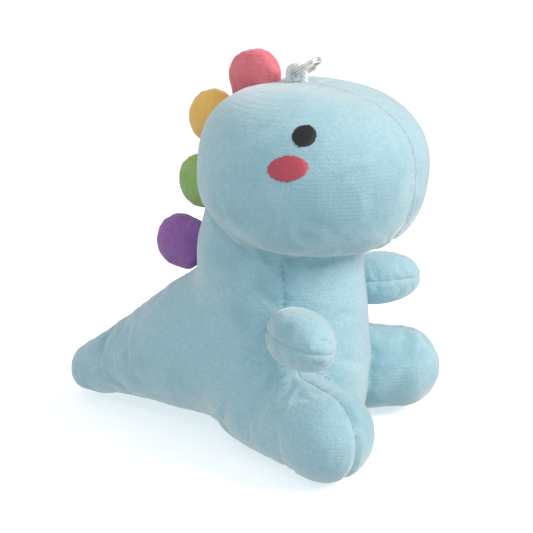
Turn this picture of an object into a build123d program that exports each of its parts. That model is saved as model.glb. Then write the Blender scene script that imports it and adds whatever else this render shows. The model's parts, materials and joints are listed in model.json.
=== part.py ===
from build123d import *
import os
from math import copysign, cos, pi, radians, sin

os.makedirs("parts", exist_ok=True)

# A small seated plush dinosaur on a cord loop with a split ring.
# Frame: millimetres, +Z up, the object faces -Y, its right side is -X.
# The origin is the middle of the flat seat, on the surface it sits on.

# ---------------------------------------------------------------- driving dimensions
FABRIC = 1.2            # short-pile plush with its knitted backing
THIN_FABRIC = 0.9       # the lighter plush of the back spines
SLACK = 0.4             # room left between soft parts that move against each other
STITCH_HEIGHT = 0.5     # how far the embroidery stands proud of the pile

HEAD_CENTRE = (0, -7.9, 71.3)
HEAD_RADIUS = 27.3
HEAD_HALF_HEIGHT = 20.4
HEAD_SQUARENESS = 2.5   # 2 is an ellipse, more is fuller at the corners
HEAD_NOD = 5            # degrees, snout down
HEAD_TURN = 8           # degrees, towards the object's right

SEAT_RADIUS = 17
BELLY_RADIUS = 22
BELLY_HEIGHT = 21
NECK_RADIUS = 18.6
NECK_HEIGHT = 52
TORSO_TOP_RADIUS = 17   # the torso ends inside the head
TORSO_TOP = 60
NAPE_CENTRE = (0, 2.5, 49)
NAPE_RADII = (18.6, 21, 23)

CHIN_REACH = 27         # the chin gusset: forward of the head's centre
CHIN_HALF_WIDTH = 15
CHIN_RISE = 13

# the tail, as ellipses across it: distance back, bottom height, top height, half width
TAIL_SECTIONS = [(8, 0.3, 50, 19.6), (27, 0.3, 39, 17.5), (42, 0.3, 27, 11.8), (58, 0.9, 14.0, 6.55)]
TAIL_TIP_RADIUS = 7.15

SEAM_ANGLE = 66         # the side seams, degrees round from the front
ARM_ROOT = (21.0, 8.9, 34.5)   # outward, forward, up
ARM_OUT_ANGLE = 40      # degrees outward from straight ahead
ARM_LENGTH = 22.6
ARM_RADIUS = 6.6
LEG_HIP = (12.5, -1.0, 12.8)   # outward, forward, up
LEG_TOE = (26.3, 23.0, 11.3)
LEG_HIP_RADIUS = 12.4
LEG_TOE_RADIUS = 11.1
LEG_LIFT = 10           # degrees that a leg can be pushed up, before it meets the arm

SPINE_WIDTH = 14.6
SPINE_HEIGHT = 9.6
SPINE_THICKNESS = 7.6
SPINE_PINCH = 0.9       # thickness where the spine enters the seam
# name: distance back, height, lean back from upright in degrees
HEAD_SPINES = {"pink": (8.0, 90.6, 12), "yellow": (18.6, 80.0, 60), "green": (21.7, 64.8, 90)}
BODY_SPINES = {"purple": (26.6, 47.6, 76)}

CORD_DIAMETER = 2.0
LOOP_BACK = -3.0        # middle of the loop, distance back
LOOP_HALF_WIDTH = 2.1
LOOP_HEIGHT = 4.2
LOOP_ROOT_HEIGHT = 91.9
CORD_TAIL = 10.5        # length of each cord end inside the head
KNOT_RADIUS = 3.2

RING_RADIUS = 3.65      # middle of the wire
RING_WIRE = 0.66        # one turn of the split ring
RING_TURN_PITCH = 0.61  # from one turn of the wire to the next
RING_CLEARANCE = 0.3
RING_RISE = 33          # degrees that the ring points up, forward of the loop

EYE_RADIUS = 2.9
EYE_PLACE = (8.5, 13.2)       # forward of and above the head's centre
CHEEK_RADII = (4.5, 2.8)      # along and across
CHEEK_PLACE = (7.2, 6.0)
OUTSIDE = 150           # bigger than the whole object


# ---------------------------------------------------------------- shared shapes
def mirrored(solid, side):
    """The solid itself on the left (+X) side, its mirror image on the right."""
    return solid if side == "left" else mirror(solid, about=Plane.YZ)


def slab(x=(-OUTSIDE, OUTSIDE), y=(-OUTSIDE, OUTSIDE), z=(-OUTSIDE, OUTSIDE)):
    """A box between the given limits, for cutting."""
    size = [pair[1] - pair[0] for pair in (x, y, z)]
    middle = [(pair[0] + pair[1]) / 2 for pair in (x, y, z)]
    return Pos(*middle) * Box(*size)


def in_lengths(curve, count):
    """The same curve as several edges, so that the face it sweeps is divided too."""
    return [curve.trim(number / count, (number + 1) / count) for number in range(count)]


def squarish_ball(radius, half_height, squareness):
    """A ball whose side outline is a superellipse."""
    power = 2 / squareness
    outline = []
    for step in range(-4, 5):
        angle = radians(22.5 * step)
        up = copysign(abs(sin(angle)) ** power, step)
        outline.append((radius * max(cos(angle), 0) ** power if abs(step) < 4 else 0, half_height * up))
    curve = Spline(*outline, tangents=[(1, 0), (-1, 0)])
    face = make_face([*in_lengths(curve, 6), Line(outline[-1], outline[0])])
    return revolve(Plane.XZ * face, Axis.Z)


def egg(length, radius):
    """An egg lying along X, with one end at the origin."""
    return Pos(length / 2, 0, 0) * scale(Sphere(1), by=(length / 2, radius, radius))


def head_pose():
    """Turns and nods the head about its own centre."""
    return Pos(*HEAD_CENTRE) * Rot(0, 0, -HEAD_TURN) * Rot(HEAD_NOD, 0, 0)


def turned_with_head(point):
    """Where a point of the head's middle plane goes when the head is turned."""
    back = point[1] - HEAD_CENTRE[1]
    angle = radians(HEAD_TURN)
    return (back * sin(angle), HEAD_CENTRE[1] + back * cos(angle), point[2])


# ---------------------------------------------------------------- head, body and tail
def head_shape(inset):
    """The stuffed head; inset moves its surface inwards."""
    ball = squarish_ball(HEAD_RADIUS - inset, HEAD_HALF_HEIGHT - inset, HEAD_SQUARENESS)
    return head_pose() * ball


def torso_shape(inset):
    """The upright body, round in plan, flat where it sits."""
    top = TORSO_TOP - inset
    curve = Spline(
        (SEAT_RADIUS - inset, inset),
        (BELLY_RADIUS - inset, BELLY_HEIGHT),
        (NECK_RADIUS - inset, NECK_HEIGHT),
        (TORSO_TOP_RADIUS - inset, top),
        tangents=[(1, 1.4), (-0.4, 1)],
    )
    sides = Polyline((TORSO_TOP_RADIUS - inset, top), (0, top), (0, inset), (SEAT_RADIUS - inset, inset))
    return revolve(Plane.XZ * make_face([*in_lengths(curve, 4), sides]), Axis.Z)


def tail_shape(inset):
    """The tail, tapering from the back to a round tip."""
    sections = []
    for back, bottom, top, half_width in TAIL_SECTIONS:
        across = Plane(origin=(0, back, (bottom + top) / 2), x_dir=(1, 0, 0), z_dir=(0, 1, 0))
        sections.append(across * Ellipse(half_width - inset, (top - bottom) / 2 - inset))
    back, bottom, top, half_width = TAIL_SECTIONS[-1]
    tip = Pos(0, back, (bottom + top) / 2) * Sphere(TAIL_TIP_RADIUS - inset)
    return loft(sections) + tip


def nape_shape(inset):
    """The thick back of the neck, which carries the line of the back up into the head."""
    radii = tuple(radius - inset for radius in NAPE_RADII)
    return Pos(*NAPE_CENTRE) * scale(Sphere(1), by=radii)


def body_shape(inset):
    """Torso, nape and tail together, never below the surface."""
    whole = torso_shape(inset) + nape_shape(inset) + tail_shape(inset)
    return whole & slab(z=(max(inset, 0), OUTSIDE))


def belly_sector():
    """The upright wedge between the two side seams, in front."""
    reach = OUTSIDE
    side_x = reach * sin(radians(SEAM_ANGLE))
    side_y = -reach * cos(radians(SEAM_ANGLE))
    corners = [(0, 0), (side_x, side_y), (reach, -reach), (-reach, -reach), (-side_x, side_y), (0, 0)]
    return extrude(make_face(Polyline(*corners)), NECK_HEIGHT - 1)


def chin_wedge():
    """The tapered piece of cloth under the head, from the snout to the neck."""
    corners = [(0, -CHIN_REACH), (CHIN_HALF_WIDTH, 0), (-CHIN_HALF_WIDTH, 0), (0, -CHIN_REACH)]
    wedge = extrude(make_face(Polyline(*corners)), CHIN_RISE)
    placed = head_pose() * Pos(0, 0, -HEAD_HALF_HEIGHT) * wedge
    return placed & slab(z=(NECK_HEIGHT - 1, OUTSIDE))


def cord_roots():
    """Where the two legs of the cord loop come out of the head seam."""
    legs = (LOOP_BACK + LOOP_HALF_WIDTH, LOOP_BACK - LOOP_HALF_WIDTH)
    return [Vector(*turned_with_head((0, back, LOOP_ROOT_HEIGHT))) for back in legs]


def cord_knot_shape():
    """The cord's two ends inside the head and the knot that holds them."""
    solid = None
    for root in cord_roots():
        top = root.Z - CORD_DIAMETER
        leg = Pos(root.X, root.Y, top - CORD_TAIL / 2) * Cylinder(CORD_DIAMETER / 2, CORD_TAIL)
        solid = leg if solid is None else solid + leg
    middle = turned_with_head((0, LOOP_BACK, LOOP_ROOT_HEIGHT - CORD_DIAMETER - CORD_TAIL))
    return solid + Pos(*middle) * Sphere(KNOT_RADIUS)


def root_pockets():
    """Small hollows in the head round the two roots, where the cord can bend."""
    first, second = [Pos(root.X, root.Y, root.Z) * Sphere(CORD_DIAMETER / 2 + 0.35) for root in cord_roots()]
    return first + second


def make_body_parts():
    """The cut panels of cloth over the head, body and tail, and the filling."""
    parts = {}
    outer = head_shape(0) + body_shape(0)
    inner = head_shape(FABRIC) + body_shape(FABRIC)
    skin = outer - inner - root_pockets() - cord_knot_shape()
    base = Pos(0, 0, FABRIC / 2) * Cylinder(SEAT_RADIUS - 1, FABRIC)
    parts["base_panel"] = skin & base
    skin = skin - base
    gusset = skin & chin_wedge()
    parts["chin_gusset"] = max(gusset.solids(), key=lambda solid: solid.volume)
    parts["belly_panel"] = skin & belly_sector()
    sides = skin - parts["chin_gusset"] - parts["belly_panel"]
    parts["side_panel_right"] = sides & slab(x=(-OUTSIDE, 0))
    parts["side_panel_left"] = sides & slab(x=(0, OUTSIDE))
    filling = inner - root_pockets() - cord_knot_shape()
    parts["head_stuffing"] = filling & slab(z=(NECK_HEIGHT, OUTSIDE))
    parts["body_stuffing"] = filling & slab(z=(0, NECK_HEIGHT))
    parts["cord_knot"] = cord_knot_shape()
    return parts


def make_face_embroidery():
    """A satin-stitched round eye and an oval cheek on each side of the head."""
    proud = squarish_ball(HEAD_RADIUS + STITCH_HEIGHT, HEAD_HALF_HEIGHT + STITCH_HEIGHT, HEAD_SQUARENESS)
    layer = proud - squarish_ball(HEAD_RADIUS, HEAD_HALF_HEIGHT, HEAD_SQUARENESS)
    sideways = Rot(0, 90, 0)
    parts = {}
    for side, sign in (("right", -1), ("left", 1)):
        half = layer & slab(x=(0, OUTSIDE) if sign > 0 else (-OUTSIDE, 0))
        eye = Pos(sign * 20, -EYE_PLACE[0], EYE_PLACE[1]) * sideways * Cylinder(EYE_RADIUS, 30)
        oval = extrude(Ellipse(CHEEK_RADII[1], CHEEK_RADII[0]), 15, both=True)
        cheek = Pos(sign * 20, -CHEEK_PLACE[0], CHEEK_PLACE[1]) * sideways * oval
        parts["eye_" + side] = head_pose() * (half & eye)
        parts["cheek_" + side] = head_pose() * (half & cheek)
    return parts


# ---------------------------------------------------------------- arms and legs
def make_arms():
    """Each arm: an upper and a lower panel sewn round a filling, set in the side seam."""
    parts = {}
    out, forward, up = ARM_ROOT
    along = (sin(radians(ARM_OUT_ANGLE)), -cos(radians(ARM_OUT_ANGLE)), 0)
    place = Plane(origin=(out, -forward, up), x_dir=along, z_dir=(0, 0, 1))
    filling = Pos(FABRIC, 0, 0) * egg(ARM_LENGTH - 2 * FABRIC, ARM_RADIUS - FABRIC)
    skin = egg(ARM_LENGTH, ARM_RADIUS) - filling
    pieces = {
        "upper": skin & slab(z=(0, OUTSIDE)),
        "lower": skin & slab(z=(-OUTSIDE, 0)),
        "stuffing": filling,
    }
    for side in ("right", "left"):
        for name, solid in pieces.items():
            parts["arm_" + side + "_" + name] = mirrored(place * Pos(2 * SLACK, 0, 0) * solid, side)
    return parts


def leg_shape(inset):
    """A leg lying along X: a round hip tapering to a round toe."""
    hip_radius = LEG_HIP_RADIUS - inset
    toe_radius = LEG_TOE_RADIUS - inset
    reach = (Vector(*LEG_TOE) - Vector(*LEG_HIP)).length
    hip_end = Plane(origin=(0, 0, 0), z_dir=(1, 0, 0)) * Circle(hip_radius)
    toe_end = Plane(origin=(reach, 0, 0), z_dir=(1, 0, 0)) * Circle(toe_radius)
    return loft([hip_end, toe_end]) + Sphere(hip_radius) + Pos(reach, 0, 0) * Sphere(toe_radius)


def make_legs():
    """Each leg: the outer and inner cloth round a filling, clear of the body as it lifts."""
    parts = {}
    out, forward, up = LEG_HIP
    toe_out, toe_forward, toe_up = LEG_TOE
    along = (toe_out - out, forward - toe_forward, toe_up - up)
    place = Plane(origin=(out, -forward, up), x_dir=along, z_dir=(0, 0, 1))
    room = body_shape(-SLACK)
    hip_axis = Axis((0, -forward, up), (1, 0, 0))
    swept = room
    for angle in (LEG_LIFT / 2, LEG_LIFT):
        swept = swept + room.rotate(hip_axis, angle)
    floor = slab(z=(0, OUTSIDE))
    filling = place * leg_shape(FABRIC) - swept
    skin = (place * leg_shape(0) & floor) - swept - place * leg_shape(FABRIC)
    inner_side = place * slab(y=(-OUTSIDE, 0))
    pieces = {"outer": skin - inner_side, "inner": skin & inner_side, "stuffing": filling}
    for side in ("right", "left"):
        for name, solid in pieces.items():
            parts["leg_" + side + "_" + name] = mirrored(solid, side)
    return parts


# ---------------------------------------------------------------- back spines
def spine_shape(inset):
    """A spine on its seam along X, rising along Y: pinched at the seam, round on top."""
    half_width = SPINE_WIDTH / 2 - inset
    top = SPINE_HEIGHT - inset
    low = inset
    shoulder = top - half_width * 0.8
    outline = make_face(
        Polyline((-half_width, shoulder), (-half_width + 0.6, low), (half_width - 0.6, low), (half_width, shoulder))
        + ThreePointArc((half_width, shoulder), (0, top), (-half_width, shoulder))
    )
    half_thick = SPINE_THICKNESS / 2 - inset
    pinch = SPINE_PINCH / 2 - inset * 0.3
    section = make_face(
        Spline((pinch, low), (half_thick, top * 0.55), (0, top), tangents=[(0.5, 1), (-1, 0)])
        + Spline((0, top), (-half_thick, top * 0.55), (-pinch, low), tangents=[(-1, 0), (0.5, -1)])
        + Line((-pinch, low), (pinch, low))
    )
    plate = extrude(outline, SPINE_THICKNESS, both=True)
    across = Plane(origin=(0, 0, 0), x_dir=(0, 0, 1), z_dir=(-1, 0, 0))
    return plate & extrude(across * section, SPINE_WIDTH, both=True)


def make_spines():
    """Four spines, each two panels round a filling."""
    outer = spine_shape(0)
    filling = spine_shape(THIN_FABRIC)
    skin = outer - filling
    pieces = {
        "right": skin & slab(z=(-OUTSIDE, 0)),
        "left": skin & slab(z=(0, OUTSIDE)),
        "stuffing": filling,
    }
    parts = {}
    for name, (back, up, lean) in {**HEAD_SPINES, **BODY_SPINES}.items():
        turn = HEAD_TURN if name in HEAD_SPINES else 0
        root = turned_with_head((0, back, up)) if turn else (0, back, up)
        pose = Pos(*root) * Rot(0, 0, -turn) * Rot(-lean, 0, 0) * Pos(0, 0, 2 * SLACK)
        upright = Plane(origin=(0, 0, 0), x_dir=(0, 1, 0), z_dir=(1, 0, 0)).location
        for piece, solid in pieces.items():
            parts["spine_" + name + "_" + piece] = pose * upright * solid
    return parts


# ---------------------------------------------------------------- cord loop and ring
def make_cord_loop():
    """The part of the cord outside the head: two short runs and a tight round arch."""
    low, high = LOOP_ROOT_HEIGHT, LOOP_ROOT_HEIGHT + LOOP_HEIGHT
    backs = (LOOP_BACK + LOOP_HALF_WIDTH, LOOP_BACK - LOOP_HALF_WIDTH)
    route = [(0, backs[0], low), (0, backs[0], high), (0, backs[1], high), (0, backs[1], low)]
    route = [turned_with_head(point) for point in route]
    corner_radius = 0.9 * LOOP_HALF_WIDTH
    path = FilletPolyline(*route, radius=[corner_radius, corner_radius])
    tube = sweep(Plane(origin=path @ 0, z_dir=path % 0) * Circle(CORD_DIAMETER / 2), path)
    expected = pi * CORD_DIAMETER ** 2 / 4 * path.length
    print("cord loop: arc radii", corner_radius, "length", round(path.length, 2))
    print("cord loop: volume", round(tube.volume, 2), "section times length", round(expected, 2))
    for root in cord_roots():
        tube = tube + Pos(root.X, root.Y, root.Z) * Sphere(CORD_DIAMETER / 2)
    return {"cord_loop": tube}


def ring_hinge():
    """The point where the ring's wire runs under the cord's arch."""
    drop = CORD_DIAMETER / 2 + RING_CLEARANCE + RING_WIRE
    return turned_with_head((0, LOOP_BACK, LOOP_ROOT_HEIGHT + LOOP_HEIGHT - drop))


def make_split_ring():
    """Two turns of wire side by side, threaded through the cord loop."""
    section = Pos(RING_RADIUS, RING_TURN_PITCH / 2) * Circle(RING_WIRE / 2)
    section = section + Pos(RING_RADIUS, -RING_TURN_PITCH / 2) * Circle(RING_WIRE / 2)
    ring = revolve(Plane.XZ * section, Axis.Z)
    pose = Pos(*ring_hinge()) * Rot(0, 0, -HEAD_TURN) * Rot(-RING_RISE, 0, 0) * Pos(0, -RING_RADIUS, 0)
    return {"split_ring": pose * ring}


# ---------------------------------------------------------------- write every part
parts = {}
for made in (
    make_body_parts(),
    make_face_embroidery(),
    make_arms(),
    make_legs(),
    make_spines(),
    make_cord_loop(),
    make_split_ring(),
):
    parts.update(made)
for name, solid in parts.items():
    export_step(solid, "parts/" + name + ".step")
print("ring hinge", [round(value, 3) for value in ring_hinge()])
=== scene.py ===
import json
from math import copysign, cos, hypot, pi, radians, sin

import bmesh
import bpy
from mathutils import Matrix, Vector, kdtree, noise
from mathutils.bvhtree import BVHTree


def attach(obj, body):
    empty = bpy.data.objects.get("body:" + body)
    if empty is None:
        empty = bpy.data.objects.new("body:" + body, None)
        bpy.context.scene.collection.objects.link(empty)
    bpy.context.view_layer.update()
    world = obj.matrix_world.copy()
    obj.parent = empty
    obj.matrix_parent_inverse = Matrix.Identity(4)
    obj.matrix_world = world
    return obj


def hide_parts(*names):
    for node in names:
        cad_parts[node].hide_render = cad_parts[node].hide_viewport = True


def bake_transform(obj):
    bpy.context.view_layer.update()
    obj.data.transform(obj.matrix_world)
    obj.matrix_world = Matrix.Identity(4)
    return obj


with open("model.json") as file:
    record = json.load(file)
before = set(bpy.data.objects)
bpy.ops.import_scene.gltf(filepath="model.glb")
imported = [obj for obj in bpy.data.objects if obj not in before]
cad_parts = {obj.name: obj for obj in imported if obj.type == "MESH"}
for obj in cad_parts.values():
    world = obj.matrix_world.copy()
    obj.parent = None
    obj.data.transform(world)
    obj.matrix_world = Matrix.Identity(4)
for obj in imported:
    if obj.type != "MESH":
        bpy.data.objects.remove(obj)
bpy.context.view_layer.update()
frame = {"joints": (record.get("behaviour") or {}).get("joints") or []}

MM = 0.001
SIDES = {"right": -1, "left": 1}


# ---------------------------------------------------------------- the stuffed form
# Head, body and tail are one bag of plush, turned right side out and packed with fibrefill.
# The legs open out of the same bag. It is shaped here with the head straight, in millimetres,
# and the head is turned at the end, as the finished toy's is.
HEAD_CENTRE = (0, -7.9, 71.3)
HEAD_RADIUS, HEAD_HALF_HEIGHT, HEAD_SQUARENESS = 28.1, 20.8, 2.5
HEAD_NOD = 5
HEAD_TURN = 8
NAPE = (0, 2.5, 49, 18.6, 21, 23)
TORSO_OUTLINE = [(0, 0), (16.5, 0), (19.2, 3), (21, 9), (22.3, 21), (21.6, 32), (20.2, 43), (18.8, 55), (0, 55)]
# along the tail: place, then half width, half length and half height
TAIL = [
    (0, 8, 25.2, 20.5, 14, 24.9),
    (0, 27, 20.6, 17.5, 12, 18.8),
    (0, 42, 15.0, 11.9, 9, 12.4),
    (0, 58.4, 8.0, 7.6, 7.6, 7.5),
]
LEG_HIP, LEG_TOE = (12.5, 1.0, 13.0), (26.1, -22.8, 12.2)
LEG_HIP_RADIUS, LEG_TOE_RADIUS = 12.6, 11.3


def add_ball(form, centre, radii, squareness=2.0):
    """Adds a ball of the given radii; a squareness over 2 makes its side outline fuller."""
    power = 2 / squareness
    made = bmesh.ops.create_uvsphere(form, u_segments=48, v_segments=24, radius=1)["verts"]
    for vert in made:
        across = hypot(vert.co.x, vert.co.y)
        wider = across ** power / across if across > 0.001 else 0
        up = copysign(abs(vert.co.z) ** power, vert.co.z)
        vert.co = (vert.co.x * wider * radii[0], vert.co.y * wider * radii[1], up * radii[2])
    bmesh.ops.translate(form, verts=made, vec=centre)
    return made


def add_chain(form, stations, inset, steps=7):
    """Adds a row of overlapping balls that runs evenly from station to station."""
    for first, second in zip(stations, stations[1:]):
        for step in range(steps + 1):
            share = step / steps
            values = [a + (b - a) * share for a, b in zip(first, second)]
            add_ball(form, values[:3], [value - inset for value in values[3:]])


def add_leg(form, sign, inset):
    hip = (sign * LEG_HIP[0], *LEG_HIP[1:], *[LEG_HIP_RADIUS] * 3)
    toe = (sign * LEG_TOE[0], *LEG_TOE[1:], *[LEG_TOE_RADIUS] * 3)
    add_chain(form, [hip, toe], inset)


def add_trunk(form, inset):
    """Adds the head, nape, upright body and tail, their surfaces moved in by inset."""
    head = add_ball(form, (0, 0, 0), [HEAD_RADIUS - inset] * 2 + [HEAD_HALF_HEIGHT - inset], HEAD_SQUARENESS)
    nod = Matrix.Rotation(radians(HEAD_NOD), 4, "X")
    bmesh.ops.transform(form, matrix=Matrix.Translation(HEAD_CENTRE) @ nod, verts=head)
    add_ball(form, NAPE[:3], [value - inset for value in NAPE[3:]])
    outline = [form.verts.new((max(out - inset, 0), 0, max(up, inset))) for out, up in TORSO_OUTLINE]
    edges = [form.edges.new(pair) for pair in zip(outline, outline[1:])]
    bmesh.ops.spin(form, geom=outline + edges, cent=(0, 0, 0), axis=(0, 0, 1), angle=2 * pi, steps=72, use_merge=True)
    add_chain(form, TAIL, inset)


def piece_from(form, name):
    """A new object at the origin with the form's mesh."""
    mesh = bpy.data.meshes.new(name)
    form.to_mesh(mesh)
    form.free()
    mesh.shade_smooth()
    piece = bpy.data.objects.new(name, mesh)
    bpy.context.scene.collection.objects.link(piece)
    return piece


def form_of(piece):
    form = bmesh.new()
    form.from_mesh(piece.data)
    return form


def applied(piece):
    """Makes the piece's modifiers part of its mesh."""
    graph = bpy.context.evaluated_depsgraph_get()
    mesh = bpy.data.meshes.new_from_object(piece.evaluated_get(graph))
    piece.modifiers.clear()
    piece.data = mesh
    return piece


def remeshed(form, name, voxel):
    """One closed even mesh round everything in the form, in metres."""
    bmesh.ops.recalc_face_normals(form, faces=form.faces)
    bmesh.ops.scale(form, vec=(MM, MM, MM), verts=form.verts)
    piece = piece_from(form, name)
    remesh = piece.modifiers.new("remesh", "REMESH")
    remesh.mode = "VOXEL"
    remesh.voxel_size = voxel * MM
    return applied(piece)


def relax(form, verts, times):
    for _ in range(times):
        bmesh.ops.smooth_vert(form, verts=verts, factor=0.5, use_axis_x=True, use_axis_y=True, use_axis_z=True)


def in_soft_join(point):
    """Where one length of cloth runs on over a join: the back of the neck, the tail's root, the hips."""
    behind = point.y > -2 * MM and point.z < 62 * MM
    hip = abs(point.x) > 17 * MM and point.y > -14 * MM and point.z < 30 * MM
    return behind or hip


form = bmesh.new()
add_trunk(form, 0)
for sign in SIDES.values():
    add_leg(form, sign, 0)
skin = remeshed(form, "skin", 1.25)
form = form_of(skin)
relax(form, form.verts, 5)
relax(form, [vert for vert in form.verts if in_soft_join(vert.co)], 45)
for vert in form.verts:
    vert.co.z = max(vert.co.z, 0.0)
form.to_mesh(skin.data)
form.free()


# ---------------------------------------------------------------- the lines of sewing
# The skin is cut from flat panels: two long side panels from the snout over the back to the
# tail's tip and out over the legs, a belly panel, a chin gusset, the inner legs and a base.
NECK = 51.5
SEAM_ANGLE = radians(66)
GUSSET_TIP, GUSSET_HALF_WIDTH = -32.5, 14.0
FACE_LOW = 63.0
LEG_WAY = (Vector(LEG_TOE) - Vector(LEG_HIP)).normalized()
LEG_REACH = (Vector(LEG_TOE) - Vector(LEG_HIP)).length


def torso_radius(height):
    """The upright body's radius at a height, read off its outline."""
    for (low_out, low_up), (high_out, high_up) in zip(TORSO_OUTLINE[1:], TORSO_OUTLINE[2:]):
        if low_up <= height <= high_up:
            return low_out + (high_out - low_out) * (height - low_up) / (high_up - low_up)
    return 0


def on_leg(point):
    """True where the skin is the leg's and not the body's; point is in millimetres."""
    mirrored = Vector((abs(point.x), point.y, point.z)) - Vector(LEG_HIP)
    along = min(max(mirrored.dot(LEG_WAY), 0), LEG_REACH)
    radius = LEG_HIP_RADIUS + (LEG_TOE_RADIUS - LEG_HIP_RADIUS) * along / LEG_REACH
    leg_depth = (mirrored - LEG_WAY * along).length - radius
    return leg_depth < hypot(point.x, point.y) - torso_radius(point.z)


def leg_side(point):
    """How far a point lies outside (+) or inside (-) the upright plane down the leg's middle."""
    across = Vector((-LEG_WAY.y, LEG_WAY.x, 0)).normalized()
    return (Vector((abs(point.x), point.y, point.z)) - Vector(LEG_HIP)).dot(across)


def seam_side(point):
    """How far a point lies in front (+) of the nearer side seam."""
    return -point.y * sin(SEAM_ANGLE) - abs(point.x) * cos(SEAM_ANGLE)


def gusset_side(point):
    """How far a point lies inside (+) the chin gusset's nearer edge."""
    slope = GUSSET_HALF_WIDTH / (NECK_BACK - GUSSET_TIP)
    return (point.y - GUSSET_TIP) * slope - abs(point.x)


NECK_BACK = HEAD_CENTRE[1]


def panel_of(point):
    """The panel that a point of the skin belongs to."""
    side = "right" if point.x < 0 else "left"
    if point.z < 0.9 and hypot(point.x, point.y) < 19:
        return "base_panel"
    if point.z < 45 and point.y < 8 and on_leg(point):
        return "leg_" + side + "_inner" if leg_side(point) < 0 else "side_panel_" + side
    if point.z < NECK and seam_side(point) > 0:
        return "belly_panel"
    if NECK <= point.z < FACE_LOW and point.y < NECK_BACK and gusset_side(point) > 0:
        return "chin_gusset"
    return "side_panel_" + side


def score(form, faces, point, normal):
    """Cuts edges along a plane into these faces and takes nothing away."""
    edges = {edge for face in faces for edge in face.edges}
    verts = {vert for face in faces for vert in face.verts}
    bmesh.ops.bisect_plane(
        form,
        geom=[*faces, *edges, *verts],
        dist=0.02 * MM,
        plane_co=Vector(point) * MM,
        plane_no=normal,
    )


def score_seams(form):
    """Cuts the skin along every seam that lies in a plane."""
    score(form, form.faces[:], (0, 0, 0), (1, 0, 0))
    for sign in SIDES.values():
        low = [face for face in form.faces if face.calc_center_median().z < (NECK + 2) * MM]
        front = [face for face in low if face.calc_center_median().x * sign > 0]
        score(form, front, (0, 0, 0), (sign * cos(SEAM_ANGLE), sin(SEAM_ANGLE), 0))
        lower = [face for face in form.faces if face.is_valid and face.calc_center_median().z < 40 * MM]
        legs = [face for face in lower if face.calc_center_median().x * sign > 0]
        legs = [face for face in legs if on_leg(face.calc_center_median() / MM)]
        hip = (sign * LEG_HIP[0], *LEG_HIP[1:])
        score(form, legs, hip, (sign * -LEG_WAY.y, LEG_WAY.x, 0))
        chin = [face for face in form.faces if NECK - 2 < face.calc_center_median().z / MM < FACE_LOW + 2]
        chin = [face for face in chin if face.calc_center_median().x * sign > 0 and face.calc_center_median().y < 0]
        slope = GUSSET_HALF_WIDTH / (NECK_BACK - GUSSET_TIP)
        score(form, chin, (0, GUSSET_TIP, 0), (sign, -slope, 0))
    front = [face for face in form.faces if face.calc_center_median().y < 0]
    score(form, front, (0, 0, NECK), (0, 0, 1))


def seam_lines(form):
    """The panel of every face, and the edges where two panels meet."""
    labels = {face: panel_of(face.calc_center_median() / MM) for face in form.faces}
    meeting = []
    for edge in form.edges:
        if len(edge.link_faces) == 2 and labels[edge.link_faces[0]] != labels[edge.link_faces[1]]:
            meeting.append(edge)
    return labels, meeting


# Air pressure in a cloth simulation fills the skin out between its seams, which don't stretch.
def swell(piece, held, reach, pressure=4.0, slack=0.0):
    """Blows a closed piece up as cloth. Held vertices stay; none moves further than reach."""
    bigger = 8
    rest = [vert.co.copy() for vert in piece.data.vertices]
    piece.data.transform(Matrix.Scale(bigger, 4))
    piece.vertex_groups.new(name="held").add(held, 1.0, "REPLACE")
    cloth = piece.modifiers.new("swell", "CLOTH")
    cloth.settings.quality = 4
    cloth.settings.use_pressure = True
    cloth.settings.uniform_pressure_force = pressure
    cloth.settings.vertex_group_mass = "held"
    cloth.settings.shrink_min = -slack
    cloth.settings.effector_weights.gravity = 0
    cloth.collision_settings.use_collision = False
    for number in range(1, 21):
        bpy.context.scene.frame_set(number)
    applied(piece)
    bpy.context.scene.frame_set(1)
    piece.data.transform(Matrix.Scale(1 / bigger, 4))
    piece.vertex_groups.clear()
    for vert, place in zip(piece.data.vertices, rest):
        moved = vert.co - place
        vert.co = place + moved * min(1, reach * MM / max(moved.length, 1e-9))


form = form_of(skin)
held = []
labels, meeting = seam_lines(form)
sewn = {vert for edge in meeting for vert in edge.verts}
held = [vert.index for vert in form.verts if vert in sewn or vert.co.z < 0.5 * MM]
form.free()
swell(skin, held, 1.1, pressure=3.0, slack=0.03)

# Each seam is drawn into a narrow groove, and the plush puckers a little on both sides of it.
GROOVE_DEPTH, GROOVE_WIDTH = 0.42, 0.9
PUCKER_DEPTH, PUCKER_REACH = 0.22, 3.0
HEAD_SEAM_FROM, HEAD_SEAM_SOFTER = 54, 1.6      # on the head the seam stands a little proud
LUMP_DEPTH, LUMP_SIZE = 0.3, 13.0


def seam_tree(meeting):
    """A tree that finds how far a point is from the nearest of these edges."""
    tree = kdtree.KDTree(2 * len(meeting))
    for number, edge in enumerate(meeting):
        tree.insert(edge.verts[0].co, 2 * number)
        tree.insert((edge.verts[0].co + edge.verts[1].co) / 2, 2 * number + 1)
    tree.balance()
    return tree


def neck_fold(point):
    """The crease that runs round under the head and fades out at the back; 0 to 1."""
    across = (point.z - 52.8 - 0.07 * point.y) / 1.5
    fade = min(max((14 - point.y) / 12, 0), 1)
    return fade / (1 + across ** 4)


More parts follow.
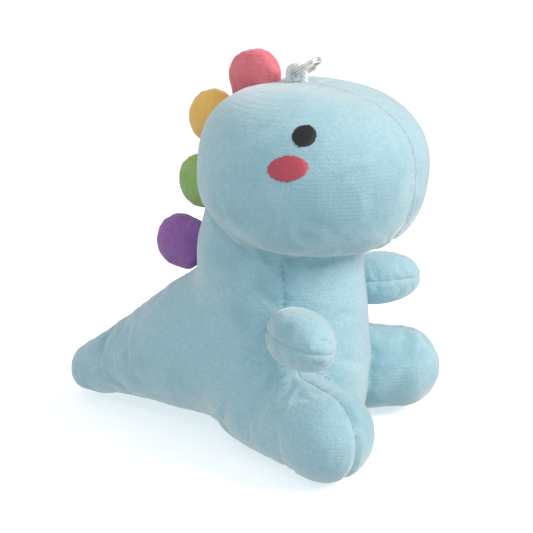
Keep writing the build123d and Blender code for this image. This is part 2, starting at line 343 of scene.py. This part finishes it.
def sew_in(form, meeting, flat_base=True):
    """Draws the seams in, puckers the cloth beside them and leaves the filling slightly lumpy."""
    tree = seam_tree(meeting)
    form.normal_update()
    moves = []
    for vert in form.verts:
        point = vert.co / MM
        away = tree.find(vert.co)[2] / MM
        on_head = min(max((point.z - HEAD_SEAM_FROM) / 8, 0), 1)
        sink = GROOVE_DEPTH * (1 - HEAD_SEAM_SOFTER * on_head) * 2.718 ** (-(away / GROOVE_WIDTH) ** 2)
        sink += PUCKER_DEPTH * noise.noise(point * 0.55) * 2.718 ** (-away / PUCKER_REACH)
        sink += LUMP_DEPTH * noise.noise(point / LUMP_SIZE)
        if flat_base:
            sink += 0.8 * neck_fold(point)
            sink *= min(max(point.z / 1.5, 0), 1)
        moves.append(vert.normal * (-sink * MM))
    for vert, move in zip(form.verts, moves):
        vert.co += move


def head_turned(point):
    """Turns a point with the head: all the way above the neck, not at all below it. In metres."""
    share = min(max((point.z / MM - 44) / 16, 0), 1)
    angle = radians(HEAD_TURN) * share * share * (3 - 2 * share)
    back = point.y - HEAD_CENTRE[1] * MM
    x = point.x * cos(angle) + back * sin(angle)
    y = back * cos(angle) - point.x * sin(angle)
    return Vector((x, HEAD_CENTRE[1] * MM + y, point.z))


def turn_head(piece):
    """Gives a piece that was made for the straight head its turned place."""
    for vert in piece.data.vertices:
        vert.co = head_turned(vert.co)
    return piece


subdivided = skin.modifiers.new("finer", "SUBSURF")
subdivided.levels = subdivided.render_levels = 1
applied(skin)
form = form_of(skin)
score_seams(form)
labels, meeting = seam_lines(form)
sew_in(form, meeting)
form.to_mesh(skin.data)
surface = BVHTree.FromBMesh(form)
"""The skin cut apart into its panels, each as thick as the plush."""
form.faces.index_update()
face_labels = [labels[face] for face in form.faces]
panels = {}
for name in sorted(set(face_labels)):
    panel = form.copy()
    panel.faces.ensure_lookup_table()
    extra = [panel.faces[number] for number, label in enumerate(face_labels) if label != name]
    bmesh.ops.delete(panel, geom=extra, context="FACES")
    panels[name] = turn_head(piece_from(panel, name))
    cloth = panels[name].modifiers.new("plush", "SOLIDIFY")
    cloth.thickness = 0.9 * MM
    cloth.offset = -1
form.free()
bpy.data.objects.remove(skin)

# The plush has a dense pile under half a millimetre long. Stroked one way it looks paler, the
# other way deeper, so its colour drifts over the surface, and the pile stands up a little.


def add_node(tree, kind, values=None, **settings):
    """A node with its settings made, and each input given a value or a link."""
    made = tree.nodes.new("ShaderNode" + kind)
    for name, value in settings.items():
        setattr(made, name, value)
    for socket, value in (values or {}).items():
        if isinstance(value, bpy.types.NodeSocket):
            tree.links.new(value, made.inputs[socket])
        else:
            made.inputs[socket].default_value = value
    return made


def mixed(tree, share, first, second):
    """The colour between two others."""
    mix = add_node(tree, "Mix", {0: share, 6: first, 7: second}, data_type="RGBA")
    return mix.outputs[2]


def remapped(tree, value, low, high):
    made = add_node(tree, "MapRange", {"Value": value, "From Min": low, "From Max": high})
    return made.outputs["Result"]


def pile_group():
    """Colour, roughness and relief of short pile, from its two shades and its grain."""
    group = bpy.data.node_groups.new("short_pile", "ShaderNodeTree")
    for name, kind in (("Pale", "NodeSocketColor"), ("Deep", "NodeSocketColor"), ("Grain", "NodeSocketFloat")):
        group.interface.new_socket(name=name, in_out="INPUT", socket_type=kind)
    for name, kind in (("Color", "NodeSocketColor"), ("Roughness", "NodeSocketFloat"), ("Normal", "NodeSocketVector")):
        group.interface.new_socket(name=name, in_out="OUTPUT", socket_type=kind)
    given = group.nodes.new("NodeGroupInput")
    result = group.nodes.new("NodeGroupOutput")
    place = add_node(group, "TexCoord").outputs["Object"]
    tips = add_node(group, "TexNoise", {"Vector": place, "Scale": given.outputs["Grain"], "Detail": 2.0})
    tufts = add_node(group, "TexNoise", {"Vector": place, "Scale": 900.0, "Detail": 3.0, "Roughness": 0.6})
    lay = add_node(group, "TexNoise", {"Vector": place, "Scale": 110.0, "Detail": 3.0, "Distortion": 0.8})
    drift = add_node(group, "TexNoise", {"Vector": place, "Scale": 32.0, "Detail": 2.0})
    rows = add_node(group, "TexWave", {"Vector": place, "Scale": 330.0, "Distortion": 1.2}, bands_direction="Z")
    smooth_lay = remapped(group, lay.outputs["Fac"], 0.35, 0.65)
    broad = remapped(group, drift.outputs["Fac"], 0.4, 0.6)
    shade = mixed(group, smooth_lay, given.outputs["Pale"], given.outputs["Deep"])
    shade = mixed(group, broad, given.outputs["Pale"], shade)
    # Where the pile's relief is low, between the tufts, the colour is pulled towards the deeper dye: this is painted
    # shade in the gaps of the pile, not flecks of dye.
    fine = add_node(group, "Math", {0: tips.outputs["Fac"], 1: tufts.outputs["Fac"]}, operation="MULTIPLY")
    painted_pile_gap_shade = remapped(group, fine.outputs[0], 0.36, 0.14)
    faint = add_node(group, "Math", {0: painted_pile_gap_shade, 1: 0.6}, operation="MULTIPLY")
    color = mixed(group, faint.outputs[0], shade, given.outputs["Deep"])
    rough = add_node(group, "MapRange", {"Value": smooth_lay, "To Min": 0.82, "To Max": 0.95})
    height = add_node(group, "Math", {0: rows.outputs["Fac"], 1: 0.1, 2: fine.outputs[0]}, operation="MULTIPLY_ADD")
    relief = add_node(group, "Bump", {"Strength": 0.8, "Distance": 0.4 * MM, "Height": height.outputs[0]})
    group.links.new(color, result.inputs["Color"])
    group.links.new(rough.outputs["Result"], result.inputs["Roughness"])
    group.links.new(relief.outputs["Normal"], result.inputs["Normal"])
    return group


def linear(red, green, blue):
    """A colour on screen, 0 to 255, as the light it stands for."""
    steps = [value / 255 for value in (red, green, blue)]
    return (*[step / 12.92 if step < 0.04 else ((step + 0.055) / 1.055) ** 2.4 for step in steps], 1)


def new_finish(name, values):
    """A material with a Principled shader of these values."""
    finish = bpy.data.materials.new(name)
    finish.use_nodes = True
    shader = finish.node_tree.nodes["Principled BSDF"]
    for socket, value in values.items():
        shader.inputs[socket].default_value = value
    return finish, finish.node_tree, shader


PILE = pile_group()


def plush(name, pale, deep, grain=3400.0, sheen=0.5):
    """Short-pile plush in one dye."""
    values = {"Sheen Weight": sheen, "Sheen Roughness": 0.45, "Specular IOR Level": 0.15}
    finish, tree, shader = new_finish(name, values)
    pile = tree.nodes.new("ShaderNodeGroup")
    pile.node_tree = PILE
    pile.inputs["Pale"].default_value = linear(*pale)
    pile.inputs["Deep"].default_value = linear(*deep)
    pile.inputs["Grain"].default_value = grain
    tree.links.new(pile.outputs["Color"], shader.inputs["Base Color"])
    tree.links.new(pile.outputs["Roughness"], shader.inputs["Roughness"])
    tree.links.new(pile.outputs["Normal"], shader.inputs["Normal"])
    return finish


BLUE_PLUSH = plush("blue_plush", (172, 211, 222), (142, 187, 200), sheen=1.0)
JOINTS = {joint["child"]: joint for joint in frame["joints"]}


def finished(piece, finish):
    """Gives a piece its material."""
    piece.data.materials.clear()
    piece.data.materials.append(finish)
    return piece


def bend_at_hip(piece):
    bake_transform(piece)


for name, panel in panels.items():
    finished(panel, BLUE_PLUSH)
for name in ("belly_panel", "chin_gusset", "base_panel"):
    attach(panels[name], "body")
    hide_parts(name)
    panels[name].name = name + "_sewn"
for side in SIDES:
    panel = panels["side_panel_" + side]
    bend_at_hip(panel)
    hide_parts("side_panel_" + side, "leg_" + side + "_outer")
    panel.name = "side_panel_" + side + "_sewn"
    inner = panels["leg_" + side + "_inner"]
    bend_at_hip(inner)
    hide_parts("leg_" + side + "_inner")
    inner.name = "leg_" + side + "_inner_sewn"


# ---------------------------------------------------------------- the filling
# Loose white fibrefill, packed firmly into the head and body and into each leg. It has the
# shape of the bag round it, a cloth's thickness smaller.
FILL_INSET = 2.4


def fibre_finish():
    finish, tree, shader = new_finish("fibrefill", {"Roughness": 0.9, "Sheen Weight": 0.4})
    place = add_node(tree, "TexCoord").outputs["Object"]
    strands = add_node(tree, "TexNoise", {"Vector": place, "Scale": 700.0, "Detail": 5.0, "Distortion": 2.5})
    # The fibrefill is greyer where its strand relief is low: painted shade in the hollows between the strands.
    color = mixed(tree, strands.outputs["Fac"], linear(226, 226, 224), linear(250, 250, 249))
    relief = add_node(tree, "Bump", {"Strength": 0.8, "Distance": 0.6 * MM, "Height": strands.outputs["Fac"]})
    tree.links.new(color, shader.inputs["Base Color"])
    tree.links.new(relief.outputs["Normal"], shader.inputs["Normal"])
    return finish


FIBRE = fibre_finish()


def stuffing(piece, body, node):
    """Finishes a mass of filling, rides it and lets it stand for its CAD solid."""
    finished(piece, FIBRE)
    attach(piece, body)
    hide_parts(node)
    return piece


def half_of(piece, name, keep_above):
    """The part of a filling above or below the neck, closed where it is cut."""
    form = form_of(piece)
    cut = bmesh.ops.bisect_plane(
        form,
        geom=form.verts[:] + form.edges[:] + form.faces[:],
        plane_co=(0, 0, NECK * MM),
        plane_no=(0, 0, 1 if keep_above else -1),
        clear_inner=True,
    )
    rim = [item for item in cut["geom_cut"] if isinstance(item, bmesh.types.BMEdge)]
    bmesh.ops.edgeloop_fill(form, edges=rim)
    bmesh.ops.recalc_face_normals(form, faces=form.faces)
    return turn_head(piece_from(form, name))


form = bmesh.new()
add_trunk(form, FILL_INSET)
whole = remeshed(form, "filling", 2.0)
stuffing(half_of(whole, "head_filling", True), "body", "head_stuffing")
stuffing(half_of(whole, "body_filling", False), "body", "body_stuffing")
bpy.data.objects.remove(whole)
for side, sign in SIDES.items():
    form = bmesh.new()
    add_leg(form, sign, FILL_INSET)
    leg = remeshed(form, "leg_" + side + "_filling", 1.6)
    stuffing(leg, "leg_" + side, "leg_" + side + "_stuffing")


# ---------------------------------------------------------------- embroidered eyes and cheeks
# Satin stitch, machine sewn before the panels are joined: close rows of shiny thread, a round
# black eye and a slanted pink oval cheek on each side of the head.
EYE_FORWARD, EYE_UP = 10.6, 13.0      # from the head's middle
CHEEK_FORWARD, CHEEK_UP = 8.7, 5.8
THREAD = 0.17


def threads(name, runs, radius):
    """One mesh of round threads, one thread for each run of points."""
    curve = bpy.data.curves.new(name + "_runs", "CURVE")
    curve.dimensions = "3D"
    curve.bevel_depth = radius * MM
    curve.bevel_resolution = 1
    curve.use_fill_caps = True
    for run in runs:
        spline = curve.splines.new("POLY")
        spline.points.add(len(run) - 1)
        for point, place in zip(spline.points, run):
            point.co = (*place, 1)
    lines = bpy.data.objects.new(name + "_runs", curve)
    bpy.context.scene.collection.objects.link(lines)
    mesh = bpy.data.meshes.new_from_object(lines)
    bpy.data.objects.remove(lines)
    form = bmesh.new()
    form.from_mesh(mesh)
    bmesh.ops.remove_doubles(form, verts=form.verts, dist=0.001 * MM)
    bmesh.ops.recalc_face_normals(form, faces=form.faces)
    return piece_from(form, name)


def satin_runs(sign, forward, up, radii, slant):
    """Rows of thread over an oval on the side of the head, each end biting into the plush."""
    start = Vector((sign * 60, HEAD_CENTRE[1] - forward, HEAD_CENTRE[2] + up)) * MM
    middle, normal = surface.ray_cast(start, (-sign, 0, 0))[:2]
    level = Vector((0, 0, 1)).cross(normal).normalized()
    along = Matrix.Rotation(radians(slant) * sign, 3, normal) @ level
    across = normal.cross(along)
    runs = []
    rows = int(2 * radii[1] / (1.55 * THREAD))
    for row in range(rows + 1):
        offset = -radii[1] + 2 * radii[1] * row / rows
        reach = radii[0] * max(1 - (offset / radii[1]) ** 2, 0.02) ** 0.5
        reach += 0.28 * noise.noise(Vector((row * 2.3, sign, up)))
        run = []
        for step in range(-5, 6):
            share = step / 5
            spot = middle + (along * reach * share + across * (offset + 0.08 * share)) * MM
            under = surface.ray_cast(spot + normal * 6 * MM, -normal)[0]
            lift = 0.6 * (1 - share ** 4) * (1 - 0.5 * (offset / radii[1]) ** 2) - 0.12
            run.append(under + normal * lift * MM)
        runs.append(run)
    return runs


def thread_finish(name, color, rough, sheen):
    """Twisted embroidery thread: a fine diagonal ply, painted shade in the grooves between its plies, and a satin
    gloss.
    """
    finish, tree, shader = new_finish(name, {"Roughness": rough, "Sheen Weight": sheen})
    place = add_node(tree, "TexCoord").outputs["Object"]
    ply = add_node(tree, "TexWave", {"Vector": place, "Scale": 900.0, "Distortion": 1.0}, bands_direction="DIAGONAL")
    # The ply's grooves, where its relief is low, are darkened to 72 percent of the thread colour: painted shade.
    shade = mixed(tree, ply.outputs["Fac"], [part * 0.72 for part in color[:3]] + [1], color)
    relief = add_node(tree, "Bump", {"Strength": 0.4, "Distance": 0.08 * MM, "Height": ply.outputs["Fac"]})
    tree.links.new(shade, shader.inputs["Base Color"])
    tree.links.new(relief.outputs["Normal"], shader.inputs["Normal"])
    return finish


BLACK_THREAD = thread_finish("black_thread", linear(24, 24, 25), 0.42, 0.1)
PINK_THREAD = thread_finish("pink_thread", linear(206, 84, 102), 0.5, 0.2)
for side, sign in SIDES.items():
    eye = threads("eye_" + side + "_stitches", satin_runs(sign, EYE_FORWARD, EYE_UP, (2.75, 2.85), 20), THREAD)
    cheek_runs = satin_runs(sign, CHEEK_FORWARD, CHEEK_UP, (4.8, 2.9), -7)
    cheek = threads("cheek_" + side + "_stitches", cheek_runs, THREAD)
    for piece, finish, word in ((eye, BLACK_THREAD, "eye"), (cheek, PINK_THREAD, "cheek")):
        finished(turn_head(piece), finish)
        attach(piece, "body")
        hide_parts(word + "_" + side)


# ---------------------------------------------------------------- side seam stitches
# The belly panel is closed on to the side panels last, by hand, so short ladder stitches in
# the plush's own blue show along the upright seams.
def seam_stitches(side):
    sign = SIDES[side]
    way = Vector((sign * sin(SEAM_ANGLE), -cos(SEAM_ANGLE), 0))
    across = Vector((0, 0, 1)).cross(way)
    runs = []
    for number in range(19):
        height = 23.0 + 1.5 * number
        wobble = 0.5 * noise.noise(Vector((number * 1.7, sign, 3.3)))
        start = (way * 60 + Vector((0, 0, height + wobble))) * MM
        run = []
        for step in (-2, -1, 0, 1, 2):
            spot = start + across * (0.36 * step) * MM + Vector((0, 0, 0.12 * step)) * MM
            under = surface.ray_cast(spot, -way)[0]
            run.append(under + way * (0.1 - 0.07 * abs(step)) * MM)
        runs.append(run)
    return runs


BLUE_THREAD = thread_finish("blue_thread", linear(140, 200, 222), 0.6, 0.3)
for side in SIDES:
    stitches = turn_head(threads("side_seam_stitches_" + side, seam_stitches(side), 0.13))
    finished(stitches, BLUE_THREAD)
    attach(stitches, "body")


# ---------------------------------------------------------------- arms
# Each arm is a little egg of two plush panels round some filling. A puckered seam runs round
# it at half height, and its fat end is caught in the side seam.
ARM_ROOT = (20.6, -8.0, 35.9)
ARM_OUT_ANGLE = 40
ARM_LENGTH, ARM_RADIUS = 22.8, 7.3
ARM_TAPER = 0.2
SEAM_PULL = 0.5


def add_padded_egg(form, length, radius, inset):
    """An egg along X from the origin, fatter at its root, flatter above and below."""
    made = add_ball(form, (0, 0, 0), (length / 2 - inset, radius - inset, radius * 0.97 - inset), 2.15)
    for vert in made:
        share = vert.co.x / length
        vert.co.y *= 1 - ARM_TAPER * share
        vert.co.z *= 1 - ARM_TAPER * share
        vert.co.x += length / 2
    return made


def pad_shell(name, form, place, voxel, split_way, names):
    """Remeshes a pad, swells it, draws its one seam in and cuts it into its two panels."""
    pad = remeshed(form, name, voxel)
    form = form_of(pad)
    relax(form, form.verts, 2)
    score(form, form.faces[:], (0, 0, 0), split_way)
    form.to_mesh(pad.data)
    form.free()
    held = [vert.index for vert in pad.data.vertices if abs(vert.co.dot(Vector(split_way))) < 0.3 * MM]
    swell(pad, held, 0.5, pressure=2.0, slack=0.035)
    finer = pad.modifiers.new("finer", "SUBSURF")
    finer.levels = finer.render_levels = 1
    applied(pad)
    form = form_of(pad)
    ways = {face: face.calc_center_median().dot(Vector(split_way)) > 0 for face in form.faces}
    meeting = [edge for edge in form.edges if len({ways[face] for face in edge.link_faces}) == 2]
    sew_in(form, meeting, flat_base=False)
    bmesh.ops.transform(form, matrix=place, verts=form.verts)
    form.faces.index_update()
    upper = [ways[face] for face in form.faces]
    pieces = []
    for number, title in enumerate(names):
        half = form.copy()
        half.faces.ensure_lookup_table()
        extra = [half.faces[index] for index, is_upper in enumerate(upper) if is_upper == bool(number)]
        bmesh.ops.delete(half, geom=extra, context="FACES")
        panel = piece_from(half, title)
        cloth = panel.modifiers.new("plush", "SOLIDIFY")
        cloth.thickness = 0.7 * MM
        cloth.offset = -1
        pieces.append(panel)
    form.free()
    bpy.data.objects.remove(pad)
    return pieces


for side, sign in SIDES.items():
    along = Vector((sign * sin(radians(ARM_OUT_ANGLE)), -cos(radians(ARM_OUT_ANGLE)), 0))
    root = Vector((sign * ARM_ROOT[0], ARM_ROOT[1], ARM_ROOT[2])) * MM
    turn = Vector((1, 0, 0)).rotation_difference(along).to_matrix().to_4x4()
    place = Matrix.Translation(root) @ turn @ Matrix.Rotation(radians(-10), 4, "X")
    form = bmesh.new()
    add_padded_egg(form, ARM_LENGTH, ARM_RADIUS, 0)
    title = "arm_" + side
    names = (title + "_upper_sewn", title + "_lower_sewn")
    shells = pad_shell(title, form, place, 0.9, (0, 0, 1), names)
    for shell, part in zip(shells, ("_upper", "_lower")):
        finished(shell, BLUE_PLUSH)
        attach(shell, title)
        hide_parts(title + part)
    form = bmesh.new()
    add_padded_egg(form, ARM_LENGTH, ARM_RADIUS, 1.9)
    core = remeshed(form, title + "_filling", 1.2)
    core.data.transform(place)
    stuffing(core, title, title + "_stuffing")


# ---------------------------------------------------------------- back spines
# Four rounded pads of thin plush, each two panels round a pinch of filling, caught in the
# centre seam: pink on the crown, yellow and green down the head, purple on the back.
SPINE_HALF_WIDTH, SPINE_HEIGHT, SPINE_HALF_THICK = 7.3, 9.8, 3.9
SPINE_SUNK = 4.2
# colour: distance back, height and lean of its root, and its two dyes
SPINES = {
    "pink": (8.8, 90.0, 9, (238, 134, 144), (222, 106, 120)),
    "yellow": (19.4, 79.8, 60, (250, 204, 118), (240, 184, 92)),
    "green": (22.6, 64.0, 91, (164, 198, 120), (140, 176, 98)),
    "purple": (26.6, 47.6, 76, (164, 114, 180), (138, 90, 158)),
}


def add_spine(form, inset):
    """A round-topped pad standing along Z, its width along Y, its foot pinched inside the seam."""
    middle = (SPINE_HEIGHT - SPINE_SUNK) / 2
    radii = (SPINE_HALF_THICK - inset, SPINE_HALF_WIDTH - inset, (SPINE_HEIGHT + SPINE_SUNK) / 2 - inset)
    made = add_ball(form, (0, 0, 0), radii, 2.25)
    for vert in made:
        low = max(-vert.co.z / radii[2], 0)
        vert.co.x *= 1 - 0.45 * low * low
        vert.co.y *= 1 + 0.5 * low * low
        vert.co.z += middle
    return made


for color, (back, up, lean, pale, deep) in SPINES.items():
    title = "spine_" + color
    root = Vector((0, back, up)) * MM
    turned = HEAD_TURN if color != "purple" else 0
    if turned:
        offset = back - HEAD_CENTRE[1]
        x, y = offset * sin(radians(turned)), HEAD_CENTRE[1] + offset * cos(radians(turned))
        root = Vector((x, y, up)) * MM
    turn = Matrix.Rotation(radians(-turned), 4, "Z") @ Matrix.Rotation(radians(-lean), 4, "X")
    place = Matrix.Translation(root) @ turn
    form = bmesh.new()
    add_spine(form, 0)
    names = (title + "_left_sewn", title + "_right_sewn")
    shells = pad_shell(title, form, place, 0.8, (1, 0, 0), names)
    dyed = plush(color + "_plush", pale, deep, grain=2600.0)
    for shell, part in zip(shells, ("_left", "_right")):
        finished(shell, dyed)
        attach(shell, title)
        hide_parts(title + part)
    form = bmesh.new()
    add_spine(form, 1.6)
    core = remeshed(form, title + "_filling", 1.0)
    core.data.transform(place)
    stuffing(core, title, title + "_stuffing")


# ---------------------------------------------------------------- cord loop and its knot
# One short length of white cord, doubled: both ends go down through the centre seam and are
# knotted together inside the head, so that the loop can't be pulled out.
CORD_DIAMETER = 2.0
LOOP_BACKS = (-0.9, -5.1)
LOOP_ROOT, LOOP_TOP, CORD_END = 91.9, 96.1, 80.5
KNOT_RADIUS = 2.6


def with_head(point):
    """A place in the head's middle plane, in millimetres, turned with it and in metres."""
    return head_turned(Vector(point) * MM)


route = [
    (0, LOOP_BACKS[0], CORD_END),
    (0, LOOP_BACKS[0], LOOP_ROOT),
    (0, LOOP_BACKS[0], LOOP_TOP),
    (0, LOOP_BACKS[1], LOOP_TOP),
    (0, LOOP_BACKS[1], LOOP_ROOT),
    (0, LOOP_BACKS[1], CORD_END),
]
line = bpy.data.curves.new("cord_loop_line", "CURVE")
line.dimensions = "3D"
line.bevel_depth = CORD_DIAMETER / 2 * MM
line.bevel_resolution = 5
line.resolution_u = 16
line.use_fill_caps = True
spline = line.splines.new("NURBS")
spline.points.add(len(route) - 1)
for point, place in zip(spline.points, route):
    point.co = (*with_head(place), 1)
spline.order_u = 3
spline.use_endpoint_u = True
loop = bpy.data.objects.new("cord", line)
bpy.context.scene.collection.objects.link(loop)


def cord_finish():
    """White polyester cord: fine plaited strands, painted shade in the grooves between them, and a soft gloss."""
    finish, tree, shader = new_finish("white_cord", {"Roughness": 0.6, "Sheen Weight": 0.3})
    place = add_node(tree, "TexCoord").outputs["Object"]
    waves = []
    for slope in (-1, 1):
        turned = add_node(tree, "Mapping", {"Vector": place, "Rotation": (radians(42 * slope), 0, 0)})
        waves.append(add_node(tree, "TexWave", {"Vector": turned.outputs[0], "Scale": 420.0}, bands_direction="Z"))
    plait = add_node(tree, "Math", {0: waves[0].outputs["Fac"], 1: waves[1].outputs["Fac"]}, operation="MAXIMUM")
    # The cord is greyer where the plait's relief is low: painted shade in the grooves between the strands.
    shade = mixed(tree, plait.outputs[0], linear(214, 208, 208), linear(250, 248, 247))
    relief = add_node(tree, "Bump", {"Strength": 0.7, "Distance": 0.2 * MM, "Height": plait.outputs[0]})
    tree.links.new(shade, shader.inputs["Base Color"])
    tree.links.new(relief.outputs["Normal"], shader.inputs["Normal"])
    return finish


WHITE_CORD = cord_finish()
finished(loop, WHITE_CORD)
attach(loop, "cord")
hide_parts("cord_loop")

knot_middle = Vector((0, sum(LOOP_BACKS) / 2, CORD_END - 0.5))
turns = []
for step in range(97):
    angle = 2 * pi * step / 96
    out = KNOT_RADIUS * 0.55 * (1.15 + 0.62 * cos(3 * angle))
    spot = Vector((out * cos(2 * angle), out * sin(2 * angle), 1.05 * sin(3 * angle)))
    turns.append(with_head(knot_middle + spot))
knot = threads("cord_knot_tied", [turns], CORD_DIAMETER * 0.42)
finished(knot, WHITE_CORD)
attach(knot, "body")
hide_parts("cord_knot")


# ---------------------------------------------------------------- split ring
# A small bright split ring hangs on the loop: two turns of springy plated wire, wound tight,
# with both wire ends lying flat on the turn beside them.
RING_RADIUS, RING_WIRE, RING_PITCH = 3.65, 0.66, 0.62
RING_RISE = 33
RING_HINGE = (0, -3.0, 94.14)


def plated_finish():
    """Bright nickel plate with the rubbed patches that handling leaves."""
    finish, tree, shader = new_finish("plated_steel", {"Metallic": 1.0})
    place = add_node(tree, "TexCoord").outputs["Object"]
    rubbed = add_node(tree, "TexNoise", {"Vector": place, "Scale": 900.0, "Detail": 4.0})
    rough = add_node(tree, "MapRange", {"Value": rubbed.outputs["Fac"], "To Min": 0.12, "To Max": 0.34})
    shade = mixed(tree, rubbed.outputs["Fac"], linear(206, 205, 200), linear(234, 233, 229))
    tree.links.new(rough.outputs["Result"], shader.inputs["Roughness"])
    tree.links.new(shade, shader.inputs["Base Color"])
    return finish


form = bmesh.new()
wire = bmesh.ops.create_circle(form, cap_ends=False, segments=16, radius=RING_WIRE / 2)["verts"]
across = Matrix.Translation((RING_RADIUS, 0, -RING_PITCH)) @ Matrix.Rotation(pi / 2, 4, "X")
bmesh.ops.transform(form, matrix=across, verts=wire)
rim = form.edges[:]
start_rim = rim[:]
last = bmesh.ops.spin(
    form, geom=rim, cent=(0, 0, 0), axis=(0, 0, 1), dvec=(0, 0, RING_PITCH / 96), angle=4 * pi, steps=192
)["geom_last"]
bmesh.ops.holes_fill(form, edges=[edge for edge in form.edges if edge.is_boundary], sides=16)
bmesh.ops.recalc_face_normals(form, faces=form.faces)
hinge = with_head(RING_HINGE) / MM
lay = Matrix.Rotation(radians(-HEAD_TURN), 4, "Z") @ Matrix.Rotation(radians(-RING_RISE), 4, "X")
place = Matrix.Scale(MM, 4) @ Matrix.Translation(hinge) @ lay @ Matrix.Translation((0, -RING_RADIUS, 0))
bmesh.ops.transform(form, matrix=place, verts=form.verts)
ring = piece_from(form, "split_ring_wire")
finished(ring, plated_finish())
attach(ring, "ring")
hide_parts("split_ring")

# ---------------------------------------------------------------- floor, light and camera
# A pale sheet lit a little from within to stand on, a broad soft light ahead and above, and a weaker one from the side.
floor_form = bmesh.new()
bmesh.ops.create_grid(floor_form, x_segments=1, y_segments=1, size=4)
floor = piece_from(floor_form, "studio_floor")
floor_finish, floor_tree, floor_shader = new_finish("studio_white", {"Roughness": 0.9, "Specular IOR Level": 0.1})
floor_shader.inputs["Base Color"].default_value = (0.93, 0.93, 0.93, 1)
floor_shader.inputs["Emission Color"].default_value = (1, 1, 1, 1)
floor_shader.inputs["Emission Strength"].default_value = 0.42
floor.data.materials.append(floor_finish)
floor.visible_diffuse = False

world = bpy.data.worlds.new("studio")
bpy.context.scene.world = world
world.use_nodes = True
world.node_tree.nodes["Background"].inputs["Color"].default_value = (0.95, 0.98, 1.0, 1)
world.node_tree.nodes["Background"].inputs["Strength"].default_value = 0.66


def add_softbox(name, place, size, power, tint=(1, 1, 1)):
    """A square area light that faces the middle of the object."""
    lamp = bpy.data.lights.new(name, "AREA")
    lamp.energy = power
    lamp.size = size
    lamp.color = tint
    holder = bpy.data.objects.new(name, lamp)
    holder.location = place
    way = Vector((0, 0, 0.05)) - Vector(place)
    holder.rotation_euler = way.to_track_quat("-Z", "Y").to_euler()
    bpy.context.scene.collection.objects.link(holder)


add_softbox("key", (0.14, -0.8, 0.6), 0.45, 8.0, tint=(1.0, 0.88, 0.82))
add_softbox("side_fill", (-0.6, -0.1, 0.5), 0.5, 0.6)
bpy.context.scene.view_settings.view_transform = "Standard"

CAMERA_AZIMUTH, CAMERA_ELEVATION = radians(-66), radians(16.6)
CAMERA_DISTANCE = 350
CAMERA_TARGET = (-7.655, 1.398, 46.536)
back_to_camera = Vector(
    (
        sin(CAMERA_AZIMUTH) * cos(CAMERA_ELEVATION),
        -cos(CAMERA_AZIMUTH) * cos(CAMERA_ELEVATION),
        sin(CAMERA_ELEVATION),
    )
)
view = bpy.data.cameras.new("camera")
view.lens = 93.77
view.sensor_width = 36
camera = bpy.data.objects.new("camera", view)
camera.location = (Vector(CAMERA_TARGET) + back_to_camera * CAMERA_DISTANCE) * MM
camera.rotation_euler = back_to_camera.to_track_quat("Z", "Y").to_euler()
bpy.context.scene.collection.objects.link(camera)
bpy.context.scene.camera = camera
